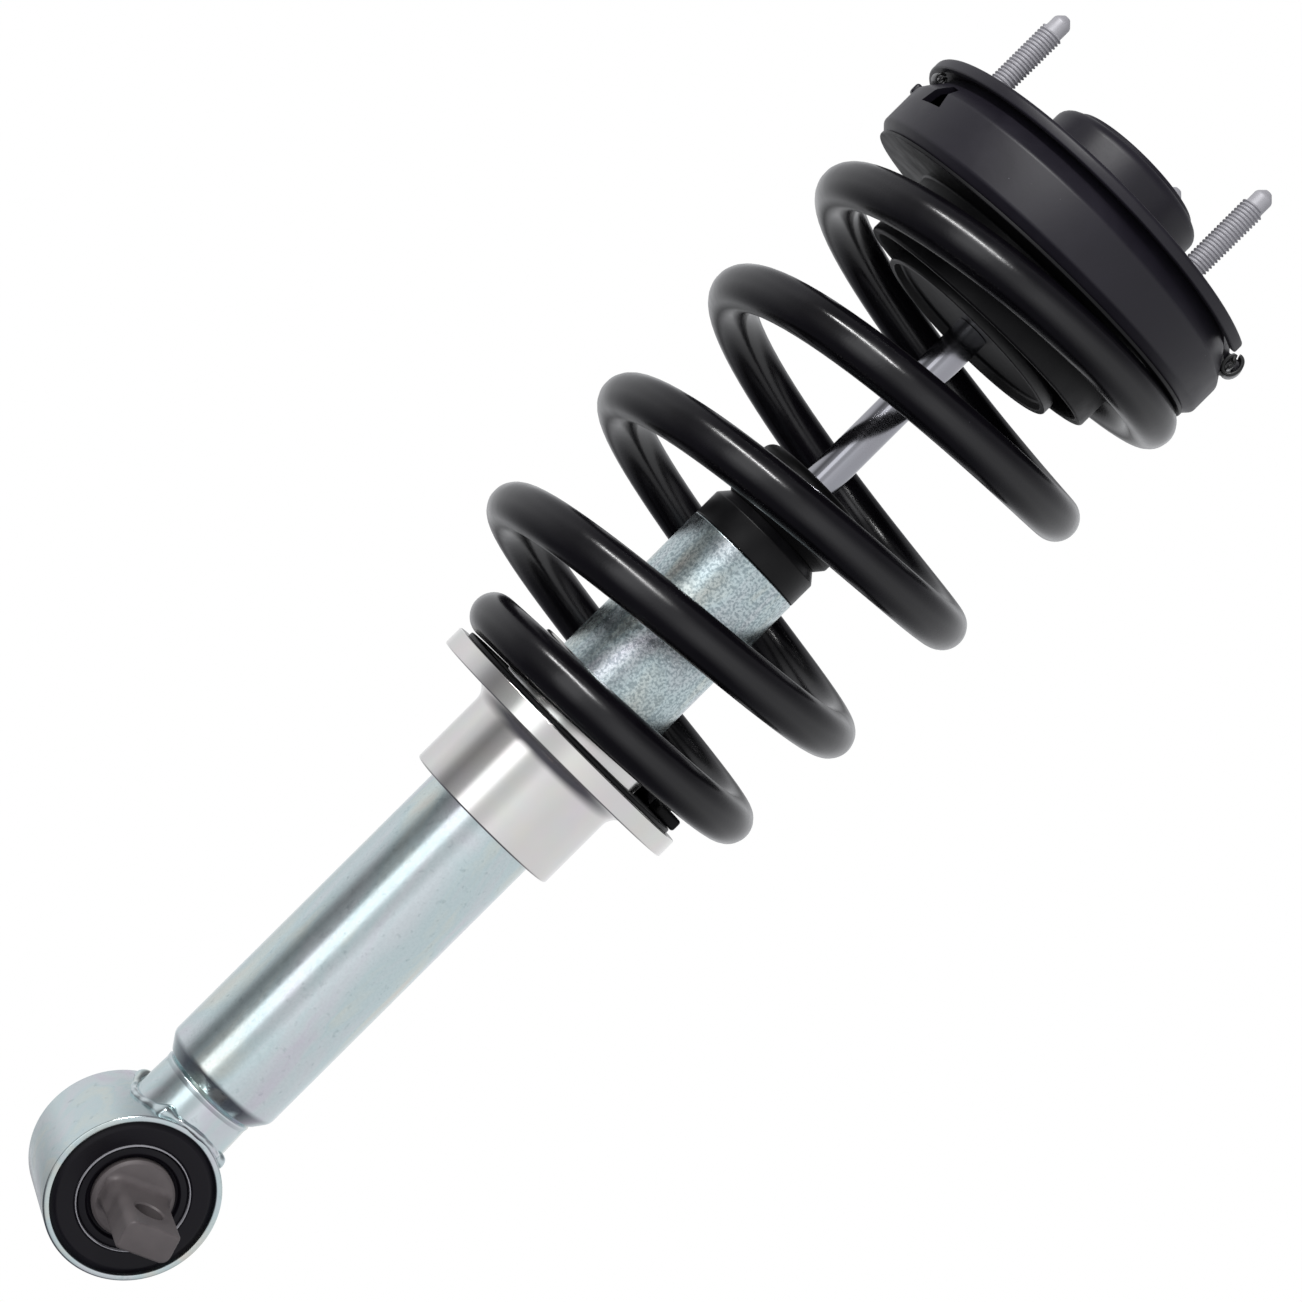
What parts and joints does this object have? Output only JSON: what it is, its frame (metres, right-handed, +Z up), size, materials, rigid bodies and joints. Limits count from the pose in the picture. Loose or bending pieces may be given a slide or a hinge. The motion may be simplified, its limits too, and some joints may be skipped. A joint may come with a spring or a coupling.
{
  "type": "coil-over suspension strut",
  "caption": "Coil-over front strut: studded top mount, pigtail coil spring, gas monotube damper with turned spring perch, and a lower eye with a rubber-bushed bar pin.",
  "frame": {"origin": "centre of the stud circle on the top face of the mount plate", "axes": "+Z up along the strut's axis and out of the mount along the studs; the lower eye and its bar pin lie along Y"},
  "size_m": [0.1671, 0.1655, 0.5946],
  "materials": {
    "black_ecoat": "semi-gloss black electrocoat on pressed steel",
    "spring_clip_black": "gloss black spring strip",
    "black_oxide_steel": "satin black coated pressing",
    "black_rubber": "matt moulded rubber",
    "bush_rubber": "moulded rubber with a fine mould skin",
    "seal_rubber": "moulded seal rubber",
    "plain_steel": "oiled bright steel",
    "phosphated_stud_steel": "rolled thread, dull grey zinc",
    "hard_chrome": "ground and polished hard chrome",
    "bumper_foam": "microcellular polyurethane, dull black",
    "black_plastic": "moulded glass-filled nylon",
    "sintered_steel": "sintered and sized",
    "ptfe_band": "bronze-filled PTFE",
    "black_powder_coat": "satin black powder coat on spring steel",
    "zinc_plated_tube": "drawn tube, bright zinc plate with a faint passivate tint",
    "zinc_plated_forging": "forging, zinc plate over a blasted skin",
    "zinc_plated_weld": "weld bead under zinc plate",
    "turned_aluminium": "bright turned bar, fine tool lines",
    "forged_bar_steel": "forged steel, dark brown-grey phosphate"
  },
  "bodies": {
    "upper_mount": {"mount_plate": "black_ecoat", "isolator_housing": "black_ecoat", "isolator_cup": "black_ecoat", "isolator_rubber": "black_rubber", "rod_sleeve": "plain_steel", "lower_washer": "plain_steel", "top_washer": "plain_steel", "rod_nut": "plain_steel", "mount_studs": "phosphated_stud_steel", "upper_spring_seat": "black_ecoat", "seat_clips": "spring_clip_black", "upper_spring_pad": "black_rubber", "piston_rod": "hard_chrome", "rod_spacer": "plain_steel", "striker_cup": "black_oxide_steel", "rebound_stop": "bumper_foam", "rebound_stop_plate": "plain_steel", "rebound_shims": "plain_steel", "piston": "sintered_steel", "piston_band": "ptfe_band", "compression_shims": "plain_steel", "piston_nut": "plain_steel", "coil_spring": "black_powder_coat"},
    "damper_body": {"damper_tube": "zinc_plated_tube", "eye_neck": "zinc_plated_forging", "eye_weld": "zinc_plated_weld", "eye_ring": "zinc_plated_forging", "bush_rubber": "bush_rubber", "lower_spring_perch": "turned_aluminium", "perch_snap_ring": "plain_steel", "lower_spring_pad": "black_rubber", "rod_guide": "turned_aluminium", "guide_o_ring": "seal_rubber", "guide_snap_ring": "plain_steel", "rod_bush": "ptfe_band", "rod_seal": "seal_rubber", "tube_cap": "black_plastic", "rod_wiper": "seal_rubber", "bump_stop": "bumper_foam"},
    "separator": {"floating_piston": "turned_aluminium", "floating_piston_seal": "seal_rubber"},
    "bar_pin": {"bar_pin": "forged_bar_steel"}
  },
  "joints": [
    {"name": "strut_travel", "type": "slide", "parent": "upper_mount", "child": "damper_body", "axis": [0, 0, 1], "range_m": [0, 0.083], "stiffness_N_per_m": 85000, "springref_m": -0.03, "deforming": ["coil_spring"]},
    {"name": "separator_float", "type": "slide", "parent": "damper_body", "child": "separator", "axis": [0, 0, -1], "range_m": [0, 0.008]},
    {"name": "bar_pin_twist", "type": "hinge", "parent": "damper_body", "child": "bar_pin", "pos_m": [0, 0, -0.5174], "axis": [0, 1, 0], "range_deg": [-20, 20], "stiffness_Nm_per_rad": 20}
  ],
  "couplings": [
    {"joint": "separator_float", "follows": "strut_travel", "ratio": 0.09263}
  ]
}
